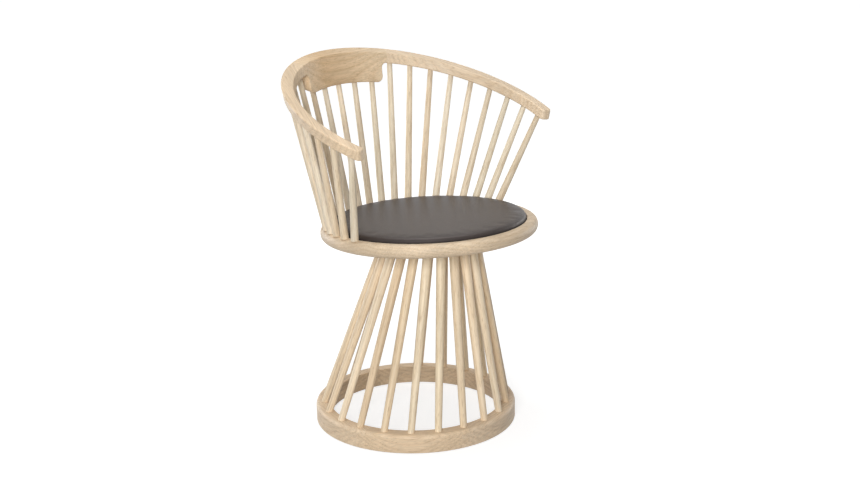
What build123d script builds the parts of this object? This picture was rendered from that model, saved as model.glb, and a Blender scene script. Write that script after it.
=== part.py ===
from build123d import *
import math
import os

# A round wooden dining armchair: a cone of turned spindles on a ring, a raked round seat with a
# leather pad, and a fan of spindles that carries a sloping bow with a deep crest.
# Millimetres and degrees. The origin is on the floor under the middle of the chair, the front is -Y.

# Base ring
ring_centre_y = 15.8
ring_radius = 215.0
ring_width = 30.0
ring_top = 39.5
ring_shoulder_radius = 8.0
ring_edge_radius = 1.5
ring_segments = 6
ring_fingers = 4
finger_length = 17.0
seam_shift = 3.9

# Glides let into the ring's underside
glide_diameter = 18.0
glide_height = 3.0
glide_projection = 1.0

# Base spindles, thick end up
base_count = 22
base_phase = 9.3
base_foot_inset = 18.2
base_foot_diameter = 14.4
base_top_diameter = 20.2
base_foot_tenon_diameter = 9.0
base_foot_tenon_length = 19.0
base_top_tenon_diameter = 12.0
base_top_tenon_length = 15.0
base_top_circle_radius = 90.0
base_top_shift = -3.0

# Seat
seat_radius = 225.2
seat_thickness = 27.0
seat_edge_share = 0.47
seat_rim_width = 21.7
seat_centre_y = -33.1
seat_height = 443.7
seat_rake = 2.4
recess_depth = 4.0
recess_chamfer = 0.8

# Pad in the seat's recess
pad_side_gap = 0.5
pad_floor_gap = 0.3
pad_crown = 13.5
pad_shoulder_height = 10.2
pad_shoulder_inset = 8.5
pad_draw_in = 1.6
cover_thickness = 1.3
cover_turn_under = 26.0
layer_gap = 0.2
board_thickness = 6.0
board_inset = 3.5

# Screws that hold the pad from below
screw_count = 4
screw_phase = 45.0
screw_circle_radius = 130.0
screw_shank_diameter = 4.0
screw_head_diameter = 8.4
screw_head_height = 2.4
screw_drive_width = 2.5
screw_drive_depth = 1.6
screw_bite = 4.6

# Back spindles, thick end down
back_count = 23
back_foot_inset = 8.6
back_foot_pitch = 8.28
back_top_pitch = 9.55
back_foot_diameter = 16.0
back_top_diameter = 11.6
back_foot_tenon_diameter = 10.5
back_foot_tenon_length = 18.0
back_top_tenon_diameter = 8.0
back_top_tenon_length = 13.0

# Bow: a crest and two arms of a slightly wider sweep, leaning outwards
bow_centre_y = -32.3
bow_radius = 276.6
arm_radius = 285.0
bow_height = 666.9
bow_slope = 18.3
rail_width = 24.7
rail_depth = 20.2
rail_lean = 11.6
rail_top_edge_radius = 3.0
rail_low_edge_radius = 2.0
arm_overhang = 24.0
arm_corner_radius = 9.0
crest_spindles = 5
crest_depth = 58.0
crest_corner_radius = 12.0
crest_hollow_radius = 9.0
joint_land = 5.0
tongue_width = 11.0
tongue_height = 8.0
tongue_length = 15.0

# Fits
tenon_clearance = 0.05
socket_end_room = 1.0
screw_clearance = 0.2

# Room for cutters beyond what they cut, the widest step of a pie slice, and how near counts as on a plane
over = 5.0
widest_step = 45.0
near = 0.01


def polar(radius, angle, height=0.0):
    """A point at an angle from +X about the Z axis."""
    turn = math.radians(angle)
    return Vector(radius * math.cos(turn), radius * math.sin(turn), height)


def wedge(start, stop, reach, bottom, top):
    """A pie slice about the Z axis from one angle to another, between two heights."""
    steps = math.ceil((stop - start) / widest_step)
    rim = [polar(reach, start + (stop - start) * step / steps) for step in range(steps + 1)]
    outline = Polyline(Vector(0, 0), *rim, close=True)
    return Pos(0, 0, bottom) * extrude(make_face(outline), top - bottom, dir=(0, 0, 1))


def edges_on(shape, *planes):
    """The edges of a shape that lie in every one of the planes."""
    found = ShapeList()
    for edge in shape.edges():
        marks = [edge.position_at(share) for share in (0.0, 0.5, 1.0)]
        heights = [plane.to_local_coords(mark).Z for plane in planes for mark in marks]
        if max(abs(height) for height in heights) < near:
            found.append(edge)
    return found


def on_axis(start, end):
    """A plane at the start point whose Z runs to the end point."""
    return Plane(origin=start, z_dir=end - start)


def rod(diameter, start, stop):
    """A cylinder on the Z axis between two heights."""
    place = Pos(0, 0, start)
    return place * Cylinder(diameter / 2, stop - start, align=(Align.CENTER, Align.CENTER, Align.MIN))


def spindle(foot, top, foot_plane, top_plane, foot_diameter, top_diameter, foot_tenon, top_tenon):
    """A tapered spindle whose shoulders are cut to its seats, with a round tenon at each end."""
    length = (top - foot).length
    spread = max(foot_diameter, top_diameter)
    grow = (top_diameter - foot_diameter) / 2 / length * spread
    body = Cone(
        foot_diameter / 2 - grow,
        top_diameter / 2 + grow,
        length + 2 * spread,
        align=(Align.CENTER, Align.CENTER, Align.MIN),
    )
    body = on_axis(foot, top) * Pos(0, 0, -spread) * body
    body = split(body, bisect_by=foot_plane, keep=Keep.TOP)
    body = split(body, bisect_by=top_plane, keep=Keep.BOTTOM)
    low = rod(foot_tenon[0], -foot_tenon[1], spread)
    high = rod(top_tenon[0], length - spread, length + top_tenon[1])
    return body + on_axis(foot, top) * (low + high)


def socket(seat_point, far_point, tenon):
    """The bore for a tenon that enters at a point, from the side of the spindle's far end."""
    bore = rod(tenon[0] + 2 * tenon_clearance, -tenon[1] - socket_end_room, over)
    return on_axis(seat_point, far_point) * bore


def save(shape, name):
    export_step(shape, f"parts/{name}.step")


os.makedirs("parts", exist_ok=True)

# Reference planes
ring_place = Pos(0, ring_centre_y)
ring_plane = Plane(origin=(0, ring_centre_y, ring_top))
rake = math.radians(seat_rake)
seat_plane = Plane(
    origin=(0, seat_centre_y, seat_height),
    x_dir=(1, 0, 0),
    z_dir=(0, math.sin(rake), math.cos(rake)),
)
seat_underside = seat_plane.offset(-seat_thickness)
recess_radius = seat_radius - seat_rim_width
slope = math.radians(bow_slope)
bow_plane = Plane(
    origin=(0, bow_centre_y, bow_height),
    x_dir=(1, 0, 0),
    z_dir=(0, -math.sin(slope), math.cos(slope)),
)
rail_top = bow_plane.offset(rail_depth / 2)
rail_underside = bow_plane.offset(-rail_depth / 2)
crest_underside = rail_top.offset(-crest_depth)

# The bow in plan: the crest's arc about the bow's centre, and a wider arc for each arm
arc_turn = 180 / math.pi / bow_radius
crest_turn = back_top_pitch * crest_spindles / 2
joint_turn = crest_turn + (crest_hollow_radius + joint_land) * arc_turn
bow_centre = Vector(0, bow_centre_y)
arm_centre = bow_centre + polar(bow_radius - arm_radius, 90 + joint_turn)


def arm_turn(turn):
    """The angle on the left arm's own arc that is as far along the bow as an angle on the crest's arc."""
    return joint_turn + (turn - joint_turn) * bow_radius / arm_radius


def rail_height(flat):
    """The height of the bow's centreline over a point in plan."""
    return bow_height + math.tan(slope) * (flat.Y - bow_centre_y)


def rail_point(turn):
    """A point on the bow's centreline, by its angle from the back towards the left arm."""
    if abs(turn) > joint_turn:
        flat = arm_centre + polar(arm_radius, 90 + arm_turn(abs(turn)))
    else:
        flat = bow_centre + polar(bow_radius, 90 + abs(turn))
    return Vector(flat.X if turn > 0 else -flat.X, flat.Y, rail_height(flat))


def radial_plane(centre, turn):
    """The upright plane through a centre at an angle from the back."""
    return Plane(origin=centre, z_dir=polar(1.0, turn + 180))


# Tenons, as diameter and length
base_foot_tenon = (base_foot_tenon_diameter, base_foot_tenon_length)
base_top_tenon = (base_top_tenon_diameter, base_top_tenon_length)
back_foot_tenon = (back_foot_tenon_diameter, back_foot_tenon_length)
back_top_tenon = (back_top_tenon_diameter, back_top_tenon_length)

# Base spindles: from the ring's top to a smaller circle under the seat
base_pitch = 360 / base_count
base_feet = []
base_tops = []
for index in range(base_count):
    angle = base_phase + base_pitch * index
    base_feet.append(ring_plane.from_local_coords(polar(ring_radius - base_foot_inset, angle)))
    under = polar(base_top_circle_radius, angle) + Vector(0, base_top_shift)
    base_tops.append(seat_underside.from_local_coords(under))
for index, (foot, top) in enumerate(zip(base_feet, base_tops)):
    shape = spindle(
        foot, top, ring_plane, seat_underside,
        base_foot_diameter, base_top_diameter, base_foot_tenon, base_top_tenon,
    )
    save(shape, f"base_spindle_{index + 1:02d}")

# Back spindles: counted from the right arm's tip round the back to the left arm's tip
back_middle = (back_count - 1) / 2
crest_half = (crest_spindles - 1) / 2
back_feet = []
back_tops = []
back_rails = []
for index in range(back_count):
    step = index - back_middle
    ring_spot = polar(recess_radius + back_foot_inset, 90 + back_foot_pitch * step)
    foot = seat_plane.from_local_coords(ring_spot)
    aim = rail_point(back_top_pitch * step)
    landing = crest_underside if abs(step) <= crest_half else rail_underside
    start = landing.to_local_coords(foot).Z
    share = start / (start - landing.to_local_coords(aim).Z)
    back_feet.append(foot)
    back_tops.append(foot + (aim - foot) * share)
    back_rails.append(landing)
for index, (foot, top, landing) in enumerate(zip(back_feet, back_tops, back_rails)):
    shape = spindle(
        foot, top, seat_plane, landing,
        back_foot_diameter, back_top_diameter, back_foot_tenon, back_top_tenon,
    )
    save(shape, f"back_spindle_{index + 1:02d}")

# Base ring: turned whole, bored for the spindles, then parted at finger joints
ring_bottom = glide_projection
ring_height = ring_top - ring_bottom
ring_middle = ring_radius - ring_width / 2
section = Pos(ring_middle, (ring_top + ring_bottom) / 2) * Rectangle(ring_width, ring_height)
section = fillet(section.vertices().sort_by(lambda corner: corner.X + corner.Y)[-1], ring_shoulder_radius)
sharp = section.vertices().filter_by(
    lambda corner: corner.X < ring_middle or corner.Y < ring_bottom + ring_edge_radius
)
section = fillet(sharp, ring_edge_radius)
ring = ring_place * revolve(Plane.XZ * section, Axis.Z)
for foot, top in zip(base_feet, base_tops):
    ring -= socket(foot, top, base_foot_tenon)

segment_turn = 360 / ring_segments
first_seam = base_phase + seam_shift
glides = []
for index in range(ring_segments):
    spot = ring_place * Pos(polar(ring_middle, first_seam + segment_turn * (index + 0.5)))
    glides.append(spot * rod(glide_diameter, 0, glide_height))
    ring -= spot * rod(glide_diameter + 2 * tenon_clearance, -over, glide_height)
save(Compound(children=glides), "floor_glides")

finger_turn = math.degrees(finger_length / 2 / ring_middle)
finger_height = ring_height / ring_fingers
for index in range(ring_segments):
    blank = Part()
    for layer in range(ring_fingers):
        shift = finger_turn if layer % 2 else -finger_turn
        start = first_seam + segment_turn * index + shift
        low = ring_bottom + finger_height * layer
        blank += wedge(start, start + segment_turn, 2 * ring_radius, low, low + finger_height)
    save(ring & ring_place * blank, f"base_ring_segment_{index + 1}")

# Seat: a turned disc with a recess for the pad, bored above and below
seat = Cylinder(seat_radius, seat_thickness, align=(Align.CENTER, Align.CENTER, Align.MAX))
seat = fillet(seat.edges().filter_by(GeomType.CIRCLE), seat_thickness * seat_edge_share)
seat -= rod(2 * recess_radius, -recess_depth, over)
lip = seat.edges().filter_by(GeomType.CIRCLE).group_by(Axis.Z)[-1].sort_by(SortBy.RADIUS)[0]
seat = chamfer(lip, recess_chamfer)
screw_spots = []
for index in range(screw_count):
    angle = screw_phase + 360 / screw_count * index
    screw_spots.append(polar(screw_circle_radius, angle, -seat_thickness))
countersink = Cone(
    screw_head_diameter / 2 + screw_clearance,
    screw_shank_diameter / 2 + screw_clearance,
    screw_head_height,
    align=(Align.CENTER, Align.CENTER, Align.MIN),
)
for spot in screw_spots:
    seat -= Pos(spot) * countersink
    seat -= Pos(spot) * rod(screw_shank_diameter + 2 * screw_clearance, 0, seat_thickness)
seat = seat_plane * seat
for foot, top in zip(base_feet, base_tops):
    seat -= socket(top, foot, base_top_tenon)
for foot, top in zip(back_feet, back_tops):
    seat -= socket(foot, top, back_foot_tenon)
save(seat, "seat")

# Pad: plywood board, foam and a leather cover turned under the board
pad_radius = recess_radius - pad_side_gap
pad_bottom = -recess_depth + pad_floor_gap


def pad_outline(inset, bottom):
    """Half of the pad's section: a low crown, a round shoulder and sides that draw in."""
    middle = Vector(0, pad_crown - inset)
    edge = Vector(pad_radius - pad_shoulder_inset, pad_shoulder_height - inset)
    side = Vector(pad_radius - inset, 0)
    tuck = Vector(pad_radius - pad_draw_in - inset, bottom)
    crown = TangentArc(middle, edge, tangent=(1, 0))
    shoulder = TangentArc(edge, side, tangent=crown % 1)
    return crown, shoulder, Line(side, tuck), Line(tuck, (0, bottom)), Line((0, bottom), middle)


def turned(lines):
    """A solid of revolution about the seat's axis, set in the seat."""
    return seat_plane * revolve(Plane.XZ * make_face(lines), Axis.Z)


board_bottom = pad_bottom + cover_thickness + layer_gap
board_top = board_bottom + board_thickness
board_radius = pad_radius - board_inset
board = rod(2 * board_radius, board_bottom, board_top)
for spot in screw_spots:
    pilot = rod(screw_shank_diameter + 2 * tenon_clearance, 0, board_bottom + seat_thickness + screw_bite)
    board -= Pos(spot) * pilot
save(seat_plane * board, "pad_board")

foam_top = turned(pad_outline(cover_thickness + layer_gap, board_bottom))
save(split(foam_top, bisect_by=seat_plane.offset(board_top + layer_gap), keep=Keep.TOP), "pad_foam")

cover = turned(pad_outline(0, pad_bottom))
cover -= turned(pad_outline(cover_thickness, pad_bottom + cover_thickness))
opening = rod(2 * (pad_radius - cover_turn_under), pad_bottom - over, board_bottom)
save(cover - seat_plane * opening, "pad_cover")

# Screws from under the seat into the pad's board
screw_length = seat_thickness + board_bottom + screw_bite
head = Cone(
    screw_head_diameter / 2,
    screw_shank_diameter / 2,
    screw_head_height,
    align=(Align.CENTER, Align.CENTER, Align.MIN),
)
screw = head + rod(screw_shank_diameter, 0, screw_length)
drive = RegularPolygon(screw_drive_width / 2, 6, major_radius=False)
screw -= extrude(drive, screw_drive_depth, dir=(0, 0, 1))
save(Compound(children=[seat_plane * Pos(spot) * screw for spot in screw_spots]), "pad_screws")

# Bow: leaning shells, sliced on the slope and parted where the arms meet the crest
lean = math.tan(math.radians(rail_lean))
reach = 2 * bow_radius


def leaning_shell(centre, radius):
    """A ring as wide as the rail that leans outwards, about a centre in plan."""
    low = -crest_depth - radius * math.tan(slope)
    high = rail_depth + radius * math.tan(slope)
    middle = rail_height(centre)
    corners = []
    for side, height in ((-1, low), (1, low), (1, high), (-1, high)):
        corners.append((radius + lean * height + side * rail_width / 2, middle + height))
    shell = revolve(Plane.XZ * make_face(Polyline(*corners, close=True)), Axis.Z)
    return Pos(centre.X, centre.Y - lean * math.tan(slope) * radius, 0) * shell


def slab(top_plane, depth):
    """Everything between a plane and a second one a depth below it."""
    return top_plane * Box(2 * reach, 2 * reach, depth, align=(Align.CENTER, Align.CENTER, Align.MAX))


def bow_wedge(centre, start, stop):
    """A slice of the bow between two angles from the back, as tall as the chair."""
    return Pos(centre) * wedge(90 + start, 90 + stop, reach, 0, 2 * bow_height)


def tongue(turn, clearance):
    """A tongue at a bow angle, from the arm into the crest."""
    spot = rail_point(turn)
    ahead = rail_point(turn - 1) - spot
    block = Box(
        tongue_width + 2 * clearance,
        tongue_height + 2 * clearance,
        tongue_length + clearance + over,
        align=(Align.CENTER, Align.CENTER, Align.MIN),
    )
    outward = Vector(spot.X, spot.Y - bow_centre_y)
    return Plane(origin=spot, x_dir=outward, z_dir=ahead) * Pos(0, 0, -over) * block


tip_turn = arm_turn(back_top_pitch * back_middle + arm_overhang * arc_turn)
joint_plane = radial_plane(bow_centre, joint_turn)
far_joint_plane = radial_plane(bow_centre, -joint_turn)
tip_plane = radial_plane(arm_centre, tip_turn)

arm = leaning_shell(arm_centre, arm_radius)
arm = arm & slab(rail_top, rail_depth) & bow_wedge(arm_centre, joint_turn, tip_turn)
flat_edges = edges_on(arm, rail_top) + edges_on(arm, rail_underside)
arm = fillet([edge for edge in edges_on(arm, tip_plane) if edge not in flat_edges], arm_corner_radius)
for face_plane, radius in ((rail_top, rail_top_edge_radius), (rail_underside, rail_low_edge_radius)):
    ends = edges_on(arm, joint_plane)
    arm = fillet([edge for edge in edges_on(arm, face_plane) if edge not in ends], radius)
arm += tongue(joint_turn, 0)
for foot, top, landing in zip(back_feet, back_tops, back_rails):
    if top.X < 0 and landing is rail_underside:
        arm -= socket(top, foot, back_top_tenon)
save(arm, "left_arm")
save(mirror(arm, about=Plane.YZ), "right_arm")

crest = leaning_shell(bow_centre, bow_radius)
crest = crest & slab(rail_top, crest_depth) & bow_wedge(bow_centre, -joint_turn, joint_turn)
past_turn = joint_turn + over * arc_turn
for start, stop in ((-past_turn, -crest_turn), (crest_turn, past_turn)):
    crest -= slab(rail_underside, crest_depth) & bow_wedge(bow_centre, start, stop)
walls = [radial_plane(bow_centre, -crest_turn), radial_plane(bow_centre, crest_turn)]
hollows = [edge for wall in walls for edge in edges_on(crest, rail_underside, wall)]
crest = fillet(hollows, crest_hollow_radius)
bottoms = [edge for wall in walls for edge in edges_on(crest, crest_underside, wall)]
crest = fillet(bottoms, crest_corner_radius)
ends = edges_on(crest, joint_plane) + edges_on(crest, far_joint_plane)
crest = fillet([edge for edge in edges_on(crest, rail_top) if edge not in ends], rail_top_edge_radius)
for place in (-1, -2):
    wall = crest.faces().filter_by(GeomType.CONE).sort_by(SortBy.AREA)[place]
    ends = edges_on(crest, joint_plane) + edges_on(crest, far_joint_plane)
    rims = [edge for edge in wall.edges() if edge not in ends]
    low_rims = [edge for edge in rims if bow_plane.to_local_coords(edge @ 0.5).Z < 0]
    crest = fillet(low_rims, rail_low_edge_radius)
slot = tongue(joint_turn, tenon_clearance)
crest = crest - slot - mirror(slot, about=Plane.YZ)
for foot, top, landing in zip(back_feet, back_tops, back_rails):
    if landing is crest_underside:
        crest -= socket(top, foot, back_top_tenon)
save(crest, "crest")
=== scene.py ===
import math

import bpy
from mathutils import Matrix, Vector


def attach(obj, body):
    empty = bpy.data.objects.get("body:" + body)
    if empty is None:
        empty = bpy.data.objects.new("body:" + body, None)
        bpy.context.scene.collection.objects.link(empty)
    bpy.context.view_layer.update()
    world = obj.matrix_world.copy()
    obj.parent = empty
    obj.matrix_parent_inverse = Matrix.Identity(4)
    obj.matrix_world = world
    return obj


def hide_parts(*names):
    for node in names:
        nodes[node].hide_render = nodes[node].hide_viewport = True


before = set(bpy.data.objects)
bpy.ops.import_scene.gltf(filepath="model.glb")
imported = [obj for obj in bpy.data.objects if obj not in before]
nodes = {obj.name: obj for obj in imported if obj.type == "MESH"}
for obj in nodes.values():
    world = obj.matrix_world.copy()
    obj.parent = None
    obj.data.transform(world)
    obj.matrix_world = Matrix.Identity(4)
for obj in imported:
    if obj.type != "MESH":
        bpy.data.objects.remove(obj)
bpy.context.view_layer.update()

# Base ring: six staves of pale oak, sawn from straight boards and finger-jointed end to end, then
# turned to a ring with a round outer shoulder. The grain runs straight along each stave, so it meets
# the wall at a slant near the joints. All the wood has the same thin matt lacquer.
ring_staves = 6
first_seam = 13.2
stave_year = 0.006
stave_tones = (
    (1.0, 0.99, 0.97), (0.97, 0.95, 0.92), (1.03, 1.03, 1.03),
    (0.99, 0.97, 0.94), (1.0, 1.0, 1.01), (0.98, 0.96, 0.95),
)
oak_late = Vector((0.750, 0.595, 0.425))
oak_early = Vector((0.600, 0.430, 0.265))
oak_pore = Vector((0.400, 0.270, 0.160))
early_shares = ((0.0, 0.42), (0.25, 0.22), (0.6, 0.0), (0.85, 0.12), (1.0, 0.42))
log_taper = 0.035
slow_wander = 0.030
fine_wander = 0.0035
lacquer_gloss = (0.44, 0.64)
lacquer_sheen = 0.24
lacquer_dip = 0.0004

# How often the grain changes in a metre, along the board and both ways across it
slow_bends = (2.2, 9.0, 9.0)
fine_bends = (6.0, 60.0, 60.0)
streaks = (8.0, 320.0, 320.0)
patches = (3.0, 22.0, 22.0)
pore_dashes = (48.0, 800.0, 800.0)


def new_finish(name):
    """A new material, its node tree and its shader."""
    material = bpy.data.materials.new(name)
    material.use_nodes = True
    return material, material.node_tree, material.node_tree.nodes["Principled BSDF"]


def add(tree, kind, feeds, **settings):
    """A new node with its settings, and each socket in feeds linked or set."""
    made = tree.nodes.new(kind)
    for setting, value in settings.items():
        setattr(made, setting, value)
    for socket, value in feeds.items():
        if isinstance(value, bpy.types.NodeSocket):
            tree.links.new(value, made.inputs[socket])
        else:
            made.inputs[socket].default_value = value
    return made


def object_spot(tree):
    """The place on the piece, in the chair's own frame."""
    return add(tree, "ShaderNodeTexCoord", {}).outputs["Object"]


def noise(tree, spot, scale, detail, **feeds):
    """Soft noise at a place, changing scale times in a metre."""
    feeds = {"Vector": spot, "Scale": scale, "Detail": detail, **feeds}
    return add(tree, "ShaderNodeTexNoise", feeds).outputs["Fac"]


def between(tree, value, low, high, to_low, to_high):
    """A value moved from one range to another and held at its ends."""
    ends = {"Value": value, "From Min": low, "From Max": high, "To Min": to_low, "To Max": to_high}
    return add(tree, "ShaderNodeMapRange", ends).outputs["Result"]


def reckon(tree, operation, *values):
    """One step of arithmetic on values."""
    return add(tree, "ShaderNodeMath", dict(enumerate(values)), operation=operation).outputs[0]


def scaled(tree, colour, share):
    """A colour made deeper or paler by a share."""
    return add(tree, "ShaderNodeVectorMath", {0: colour, "Scale": share}, operation="SCALE").outputs[0]


def shades(tree, share, stops):
    """Colours that follow each other as a share goes from 0 to 1."""
    ramp = add(tree, "ShaderNodeValToRGB", {"Fac": share})
    steps = ramp.color_ramp.elements
    for step, (position, colour) in ((steps[0], stops[0]), (steps[-1], stops[-1])):
        step.position = position
        step.color = (*colour, 1.0)
    for position, colour in stops[1:-1]:
        steps.new(position).color = (*colour, 1.0)
    return ramp.outputs["Color"]


def oak(name, grain, cut, tone, year_width):
    """Lacquered oak: the way the board runs, its place in the log, its tint and its years' width."""
    material, tree, shader = new_finish(name)

    def toned(colour):
        return tuple(part * tint for part, tint in zip(colour, tone))

    def stretched(scale, detail, rough):
        """Noise drawn out along the board, with its scale along it and across it."""
        drawn = add(tree, "ShaderNodeVectorMath", {0: board, 1: scale}, operation="MULTIPLY")
        return noise(tree, drawn.outputs[0], 1.0, detail, Roughness=rough)

    turn = grain.rotation_difference(Vector((1.0, 0.0, 0.0))).to_euler()
    laid = {"Vector": object_spot(tree), "Rotation": turn, "Location": cut}
    board = add(tree, "ShaderNodeMapping", laid).outputs[0]

    # Growth rings about the log's heart, uneven in width and wandering along the board
    drift = {0: board, 1: (log_taper, 1.0, 1.0)}
    across = add(tree, "ShaderNodeVectorMath", drift, operation="MULTIPLY").outputs[0]
    radius = add(tree, "ShaderNodeVectorMath", {0: across}, operation="LENGTH").outputs["Value"]
    radius = reckon(tree, "MULTIPLY_ADD", stretched(slow_bends, 2.0, 0.5), slow_wander, radius)
    radius = reckon(tree, "MULTIPLY_ADD", stretched(fine_bends, 2.0, 0.5), fine_wander, radius)
    good_years = {"W": radius, "Scale": 0.4 / year_width, "Detail": 1.0}
    width = add(tree, "ShaderNodeTexNoise", good_years, noise_dimensions="1D").outputs["Fac"]
    year = reckon(tree, "FRACT", reckon(tree, "MULTIPLY_ADD", radius, 1.0 / year_width, width))
    stops = [(position, toned(oak_late.lerp(oak_early, share))) for position, share in early_shares]
    growth = shades(tree, year, stops)

    # Streaks and slow changes of tone along the board
    streak = between(tree, stretched(streaks, 3.0, 0.6), 0.38, 0.62, 0.90, 1.06)
    patch = between(tree, stretched(patches, 2.0, 0.5), 0.35, 0.65, 0.92, 1.06)
    streaked = scaled(tree, growth, reckon(tree, "MULTIPLY", streak, patch))

    # Open pores, short dark dashes that crowd into the early wood
    dashes = stretched(pore_dashes, 2.0, 0.55)
    crowded = reckon(tree, "ADD", dashes, between(tree, year, 0.0, 0.5, 0.06, 0.0))
    pores = between(tree, crowded, 0.58, 0.72, 0.0, 0.6)
    filled = {0: pores, 6: streaked, 7: (*toned(oak_pore), 1.0)}
    wood = add(tree, "ShaderNodeMix", filled, data_type="RGBA")
    tree.links.new(wood.outputs[2], shader.inputs["Base Color"])

    # The lacquer dips a little into the pores and is duller there
    tree.links.new(between(tree, pores, 0.0, 1.0, *lacquer_gloss), shader.inputs["Roughness"])
    shader.inputs["Specular IOR Level"].default_value = lacquer_sheen
    height = reckon(tree, "MULTIPLY_ADD", pores, -1.0, streak)
    dip = add(tree, "ShaderNodeBump", {"Height": height, "Strength": 0.25, "Distance": lacquer_dip})
    tree.links.new(dip.outputs["Normal"], shader.inputs["Normal"])
    return material


def dress(node, material):
    """Gives a node of the frame its finish."""
    for place in nodes[node].material_slots:
        place.material = material


for index in range(ring_staves):
    middle = math.radians(first_seam + 360.0 / ring_staves * (index + 0.5))
    chord = Vector((-math.sin(middle), math.cos(middle), 0.06))
    cut = Vector((0.31 * index, 0.07 - 0.018 * index, 0.05 + 0.011 * index))
    stave_oak = oak(f"oak_stave_{index + 1}", chord, cut, stave_tones[index], stave_year)
    dress(f"base_ring_segment_{index + 1}", stave_oak)


# Glides: six discs of pressed wool felt let into the ring's underside, so that the ring doesn't
# scrape the floor. Only a hair of each one shows.
def felt(name):
    """Pressed grey wool felt."""
    material, tree, shader = new_finish(name)
    fibre = noise(tree, object_spot(tree), 1400.0, 4.0, Distortion=1.5)
    wool = shades(tree, fibre, ((0.0, (0.16, 0.145, 0.13)), (1.0, (0.36, 0.335, 0.31))))
    nap = add(tree, "ShaderNodeBump", {"Height": fibre, "Strength": 0.6, "Distance": 0.0006})
    tree.links.new(wool, shader.inputs["Base Color"])
    tree.links.new(nap.outputs["Normal"], shader.inputs["Normal"])
    shader.inputs["Roughness"].default_value = 0.95
    return material


dress("floor_glides", felt("wool_felt"))

# Base spindles: twenty-two turned oak spindles, thick end up, tenoned into the ring and the seat.
# They are turned from different boards, so their tones run from a pale cream to a light tan.
base_spindles = 22
base_paleness = 0.04
spindle_year = 0.0045
spindle_tones = (
    (1.15, 1.20, 1.19), (1.09, 1.09, 1.04), (1.17, 1.23, 1.26), (1.12, 1.14, 1.12),
    (1.15, 1.20, 1.20), (1.05, 1.03, 0.97), (1.16, 1.18, 1.17),
)


def turned_grain(node):
    """The way the grain runs in a turned spindle: from its lowest point to its highest."""
    points = [vertex.co for vertex in nodes[node].data.vertices]
    return max(points, key=lambda point: point.z) - min(points, key=lambda point: point.z)


def dress_spindle(node, index, depth, paleness):
    """A spindle from its own place in the log, in one board's tone, made deeper and less yellow."""
    cut = Vector((0.41 * index, 0.045 + 0.013 * (index % 5), 0.06 - 0.017 * (index % 4)))
    red, green, blue = spindle_tones[index * 3 % len(spindle_tones)]
    tone = (depth * red, depth * green * (1.0 + 0.4 * paleness), depth * blue * (1.0 + paleness))
    dress(node, oak(f"oak_{node}", turned_grain(node), cut, tone, spindle_year))


for index in range(base_spindles):
    dress_spindle(f"base_spindle_{index + 1:02d}", index, 1.0, base_paleness)

# Seat: a thick oak disc glued up from boards, turned with round edges and a shallow recess for the
# pad. It rakes down to the back, and its grain runs from side to side.
seat_rake = math.radians(2.4)
seat_middle = Vector((0.0, -0.0331, 0.4437))
seat_place = Matrix.Translation(seat_middle) @ Matrix.Rotation(-seat_rake, 4, "X")
seat_grain = Vector((1.0, 0.03, 0.0))
seat_cut = Vector((0.2, 0.11, 0.035))
seat_tone = (0.885, 0.89, 0.89)
seat_year = 0.0065
dress("seat", oak("oak_seat", seat_grain, seat_cut, seat_tone, seat_year))

# Pad board and its screws: a birch plywood disc under the foam, held by four steel screws driven up
# from under the seat. The plies show as bands on the board's edge.
ply_thickness = 0.0012


def plywood(name):
    """Birch plywood, banded across its thickness."""
    material, tree, shader = new_finish(name)
    level = {"Vector": object_spot(tree), "Rotation": (seat_rake, 0.0, 0.0)}
    flat = add(tree, "ShaderNodeMapping", level).outputs[0]
    bands = {"Vector": flat, "Scale": math.pi / 10.0 / ply_thickness, "Distortion": 0.4}
    plies = add(tree, "ShaderNodeTexWave", bands, bands_direction="Z").outputs["Fac"]
    birch = shades(tree, plies, ((0.0, (0.42, 0.29, 0.17)), (1.0, (0.72, 0.57, 0.38))))
    tree.links.new(birch, shader.inputs["Base Color"])
    shader.inputs["Roughness"].default_value = 0.7
    return material


def screw_steel(name):
    """Zinc-plated steel, cloudy where it was tumbled."""
    material, tree, shader = new_finish(name)
    cloud = noise(tree, object_spot(tree), 600.0, 3.0)
    zinc = shades(tree, cloud, ((0.0, (0.42, 0.42, 0.40)), (1.0, (0.66, 0.66, 0.63))))
    tree.links.new(zinc, shader.inputs["Base Color"])
    tree.links.new(between(tree, cloud, 0.0, 1.0, 0.28, 0.5), shader.inputs["Roughness"])
    shader.inputs["Metallic"].default_value = 1.0
    return material


dress("pad_board", plywood("birch_plywood"))
dress("pad_screws", screw_steel("zinc_steel"))

# Pad: a foam disc under a drawn leather cover, dark grey-brown and finely grained. It is a low crown
# with a round shoulder, and its side goes down into the seat's recess and turns under the board.
# Heights are above the seat's rim.
pad_radius = 0.2029
pad_top = 0.0108
pad_bottom = -0.0037
pad_shoulder = 0.0105
pad_skirt = -0.024
pad_crown = 0.0016
pad_swell = 0.0010
pad_voxel = 0.0042
pad_pinned = -0.001
# Height of the band of painted shade at the pad's foot
pad_painted_shade_band = 0.0055
pad_frames = 20
pad_sides = 160
shoulder_steps = 8
smooth_angle = math.radians(50.0)

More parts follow.
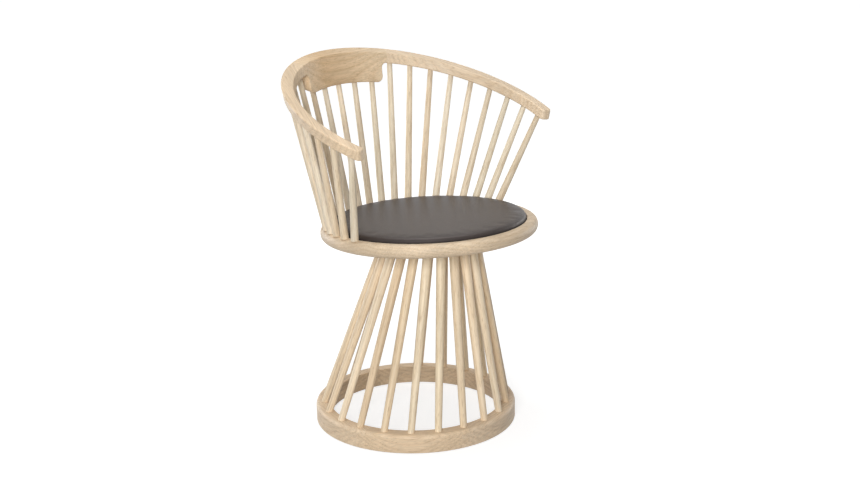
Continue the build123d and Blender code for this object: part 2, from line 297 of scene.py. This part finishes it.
bpy.ops.object.select_all(action="DESELECT")
bpy.ops.mesh.primitive_cylinder_add(
    vertices=pad_sides, radius=pad_radius, depth=pad_top - pad_skirt,
    location=(0.0, 0.0, (pad_top + pad_skirt) / 2), end_fill_type="NGON",
)
pad = bpy.context.object
pad.name = "pad_leather"
bpy.ops.object.transform_apply(location=True, rotation=False, scale=False)
bpy.ops.object.mode_set(mode="EDIT")
bpy.ops.mesh.select_mode(type="EDGE")
bpy.ops.mesh.select_all(action="DESELECT")
bpy.ops.object.mode_set(mode="OBJECT")
for edge in pad.data.edges:
    edge.select = all(pad.data.vertices[end].co.z > 0.0 for end in edge.vertices)
bpy.ops.object.mode_set(mode="EDIT")
bpy.ops.mesh.bevel(offset=pad_shoulder, segments=shoulder_steps, affect="EDGES", clamp_overlap=True)
bpy.ops.object.mode_set(mode="OBJECT")

# Voxels give the leather an even mesh, which runs on below the seat's recess for now
remesh = pad.modifiers.new("even", "REMESH")
remesh.mode = "VOXEL"
remesh.voxel_size = pad_voxel
bpy.ops.object.modifier_apply(modifier="even")
ease = pad.modifiers.new("ease", "LAPLACIANSMOOTH")
ease.lambda_factor = 0.4
ease.iterations = 2
bpy.ops.object.modifier_apply(modifier="ease")

# The crown rises to the middle
for vertex in pad.data.vertices:
    if vertex.co.z > 0.0:
        share = min(math.hypot(vertex.co.x, vertex.co.y) / pad_radius, 1.0)
        vertex.co.z += pad_crown * vertex.co.z / pad_top * (1.0 - share ** 2)

# The foam presses the leather out a little, and the skirt holds still
pinned = pad.vertex_groups.new(name="under")
under = [vertex.index for vertex in pad.data.vertices if vertex.co.z < pad_pinned]
pinned.add(under, 1.0, "REPLACE")
start = [vertex.co.copy() for vertex in pad.data.vertices]
cloth = pad.modifiers.new("cloth", "CLOTH")
cloth.settings.quality = 6
cloth.settings.mass = 0.4
cloth.settings.tension_stiffness = 40.0
cloth.settings.compression_stiffness = 40.0
cloth.settings.bending_stiffness = 12.0
cloth.settings.use_pressure = True
cloth.settings.uniform_pressure_force = 4.0
cloth.settings.vertex_group_mass = "under"
cloth.settings.effector_weights.gravity = 0.0
for step in range(1, pad_frames + 1):
    bpy.context.scene.frame_set(step)
swollen = pad.evaluated_get(bpy.context.evaluated_depsgraph_get()).data
capped = []
for vertex, rest in zip(swollen.vertices, start):
    move = vertex.co - rest
    capped.append(rest + move * min(1.0, pad_swell / max(move.length, 1e-9)))
pad.modifiers.remove(cloth)
for vertex, spot in zip(pad.data.vertices, capped):
    vertex.co = spot
bpy.context.scene.frame_set(1)

bpy.ops.object.select_all(action="DESELECT")
pad.select_set(True)
bpy.context.view_layer.objects.active = pad
soften = pad.modifiers.new("soften", "LAPLACIANSMOOTH")
soften.lambda_factor = 1.0
soften.iterations = 8
bpy.ops.object.modifier_apply(modifier="soften")
finer = pad.modifiers.new("finer", "SUBSURF")
finer.levels = 1
finer.render_levels = 1
bpy.ops.object.modifier_apply(modifier="finer")

# The skirt is cut off at the recess, where the leather turns under the board
bpy.ops.object.mode_set(mode="EDIT")
bpy.ops.mesh.select_all(action="SELECT")
bpy.ops.mesh.bisect(
    plane_co=(0.0, 0.0, pad_bottom), plane_no=(0.0, 0.0, -1.0), use_fill=True, clear_outer=True,
)
bpy.ops.object.mode_set(mode="OBJECT")
bpy.ops.object.shade_smooth_by_angle(angle=smooth_angle)
pad.matrix_world = seat_place
bpy.ops.object.transform_apply(location=True, rotation=True, scale=True)


def leather(name):
    """Smooth dark leather: a fine pebble, faint creases, and painted shade at its foot, which is also
    duller.
    """
    material, tree, shader = new_finish(name)
    spot = object_spot(tree)
    pebbled = {"Vector": spot, "Scale": 620.0}
    pebble = add(tree, "ShaderNodeTexVoronoi", pebbled, feature="DISTANCE_TO_EDGE").outputs["Distance"]
    valley = between(tree, pebble, 0.0, 0.12, 0.72, 1.0)
    crease = noise(tree, spot, 240.0, 3.0)
    cloud = noise(tree, spot, 14.0, 3.0)
    dyed = shades(tree, cloud, ((0.3, (0.022, 0.0165, 0.0150)), (0.7, (0.031, 0.0235, 0.0210))))

    # The painted shade at the foot, and its dullness, are told by the height above the seat's rim
    raked = {"Vector": spot, "Location": seat_middle, "Rotation": (-seat_rake, 0.0, 0.0)}
    level = add(tree, "ShaderNodeMapping", raked, vector_type="TEXTURE").outputs[0]
    height = add(tree, "ShaderNodeSeparateXYZ", {0: level}).outputs["Z"]
    painted_shade_and_dull_foot = between(tree, height, pad_painted_shade_band, 0.0, 0.0, 1.0)
    # Painted shade: the colour falls to 0.3 of itself where the pad meets the seat's recess
    depth = reckon(tree, "MULTIPLY", valley, between(tree, painted_shade_and_dull_foot, 0.0, 1.0, 1.0, 0.3))
    tree.links.new(scaled(tree, dyed, depth), shader.inputs["Base Color"])

    gloss = between(tree, crease, 0.0, 1.0, 0.34, 0.46)
    tree.links.new(reckon(tree, "MULTIPLY_ADD", painted_shade_and_dull_foot, 0.45, gloss), shader.inputs["Roughness"])
    shader.inputs["Specular IOR Level"].default_value = 0.38
    shader.inputs["Specular Tint"].default_value = (1.0, 0.89, 0.86, 1.0)
    grain = add(tree, "ShaderNodeBump", {"Height": valley, "Strength": 0.35, "Distance": 0.0003})
    folds = {"Height": crease, "Strength": 0.2, "Distance": 0.0006, "Normal": grain.outputs["Normal"]}
    fold = add(tree, "ShaderNodeBump", folds)
    tree.links.new(fold.outputs["Normal"], shader.inputs["Normal"])
    return material


pad.data.materials.append(leather("dark_leather"))
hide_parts("pad_cover", "pad_foam")
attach(pad, "root")

# Back spindles: twenty-three thinner turned spindles, thick end down, that fan out from the seat's
# rim to the bow. The five in the middle stand in the crest. They are cut from later boards.
back_spindles = 23
first_back_board = 40
back_depth = 0.95
back_paleness = 0.15
for index in range(back_spindles):
    dress_spindle(f"back_spindle_{index + 1:02d}", first_back_board + index, back_depth, back_paleness)

# Arms: the two sides of the bow, each sawn to its curve from a straight board and joined to the
# crest by a tongue. The grain runs along each arm's chord and rises with the bow.
arm_year = 0.007
bow_slope = math.tan(math.radians(18.3))
left_chord = Vector((0.42, 0.907, 0.907 * bow_slope))
right_chord = Vector((-left_chord.x, left_chord.y, left_chord.z))
left_cut = Vector((0.1, 0.32, -0.60))
right_cut = Vector((0.7, 0.30, -0.62))
dress("left_arm", oak("oak_left_arm", left_chord, left_cut, (0.985, 0.975, 0.95), arm_year))
dress("right_arm", oak("oak_right_arm", right_chord, right_cut, (1.01, 1.02, 1.03), arm_year))

# Crest: the deeper middle of the bow, sawn from one wide board with its grain straight across the
# chair. Its colour carries painted shade: darkest and brownest left of its middle, paler towards its
# ends.
crest_year = 0.010
crest_grain = Vector((1.0, 0.0, 0.04))
crest_cut = Vector((0.3, -0.17, -0.71))
crest_reach = 0.11
# Painted shade: tints that darken the crest left of its middle and pale it towards its ends
crest_painted_shade_tints = ((0.0, (0.93, 0.92, 0.885)), (0.28, (0.80, 0.73, 0.62)), (1.0, (0.97, 0.98, 0.97)))
crest_oak = oak("oak_crest", crest_grain, crest_cut, (1.05, 1.03, 1.00), crest_year)
crest_tree = crest_oak.node_tree
crest_colour = crest_tree.nodes["Principled BSDF"].inputs["Base Color"]
crest_along = add(crest_tree, "ShaderNodeSeparateXYZ", {0: object_spot(crest_tree)}).outputs["X"]
crest_share = between(crest_tree, crest_along, -crest_reach, crest_reach, 0.0, 1.0)
crest_mix = {0: crest_colour.links[0].from_socket, 1: shades(crest_tree, crest_share, crest_painted_shade_tints)}
crest_painted_shade = add(crest_tree, "ShaderNodeVectorMath", crest_mix, operation="MULTIPLY")
crest_tree.links.new(crest_painted_shade.outputs[0], crest_colour)
dress("crest", crest_oak)

# Studio: a wide pale floor that fades into white, a soft key beside the camera, weak fills from the
# right and from behind, a soft top light and an even white room. The floor keeps the soft shadow.
floor_size = 60.0
floor_grey = (0.42, 0.42, 0.42, 1.0)
fade_start = 0.3
fade_end = 1.8
floor_glow = (0.72, 1.0)
room_glow = (0.07, 1.0)
white = (1.0, 1.0, 1.0, 1.0)
bpy.ops.object.select_all(action="DESELECT")
bpy.ops.mesh.primitive_plane_add(size=floor_size, location=(0.0, 0.0, 0.0))
floor = bpy.context.object
floor.name = "studio_floor"


def seen(tree):
    """One for a ray that shows the background itself: straight, mirrored or through glass."""
    path = add(tree, "ShaderNodeLightPath", {}).outputs
    bounced = reckon(tree, "MAXIMUM", path["Is Camera Ray"], path["Is Glossy Ray"])
    return reckon(tree, "MAXIMUM", bounced, path["Is Transmission Ray"])


paper, paper_tree, paper_shader = new_finish("pale_paper")
paper_reach = add(paper_tree, "ShaderNodeVectorMath", {0: object_spot(paper_tree)}, operation="LENGTH")
paper_fade = between(paper_tree, paper_reach.outputs["Value"], fade_start, fade_end, *floor_glow)
paper_glow = reckon(paper_tree, "MULTIPLY", seen(paper_tree), paper_fade)
paper_tree.links.new(paper_glow, paper_shader.inputs["Emission Strength"])
paper_shader.inputs["Emission Color"].default_value = white
paper_shader.inputs["Base Color"].default_value = floor_grey
paper_shader.inputs["Roughness"].default_value = 0.9
paper_shader.inputs["Specular IOR Level"].default_value = 0.0
floor.data.materials.append(paper)

room = bpy.data.worlds.new("white_room")
bpy.context.scene.world = room
room.use_nodes = True
room_tree = room.node_tree
room_light = room_tree.nodes["Background"]
room_light.inputs["Color"].default_value = white
room_level = between(room_tree, seen(room_tree), 0.0, 1.0, *room_glow)
room_tree.links.new(room_level, room_light.inputs["Strength"])


def soft_box(name, place, aim, size, power, spread):
    """A square soft light at a place, turned to a point, with a grid that narrows its spread."""
    bpy.ops.object.light_add(type="AREA", location=place)
    lamp = bpy.context.object
    lamp.name = name
    lamp.data.shape = "SQUARE"
    lamp.data.size = size
    lamp.data.energy = power
    lamp.data.spread = math.radians(spread)
    lamp.rotation_euler = (Vector(aim) - Vector(place)).to_track_quat("-Z", "Y").to_euler()


soft_box("key", (-2.4, -1.85, 1.35), (0.0, 0.0, 0.4), 1.0, 77.0, 180.0)
soft_box("side_fill", (2.6, -0.5, 0.55), (0.0, 0.0, 0.4), 1.2, 16.0, 180.0)
soft_box("back_fill", (-0.5, 2.7, 0.75), (0.0, 0.0, 0.45), 1.6, 36.0, 180.0)
soft_box("top", (0.0, 0.1, 2.9), (0.0, 0.0, 0.5), 2.2, 20.0, 110.0)

# Camera: off the chair's left front corner and about 0.4 m above its bow, at the photograph's angle.
camera_place = Vector((-1.9954, -1.9967, 1.1728))
camera_right = Vector((0.69765, -0.71626, -0.01629))
camera_up = Vector((0.20637, 0.17914, 0.96194))
camera_back = Vector((-0.68607, -0.67445, 0.27279))
bpy.ops.object.camera_add(location=camera_place)
camera = bpy.context.object
camera.rotation_euler = Matrix((camera_right, camera_up, camera_back)).transposed().to_euler()
camera.data.lens = 58.51
camera.data.sensor_width = 36.0
bpy.context.scene.camera = camera

bpy.context.scene.view_settings.view_transform = "Standard"
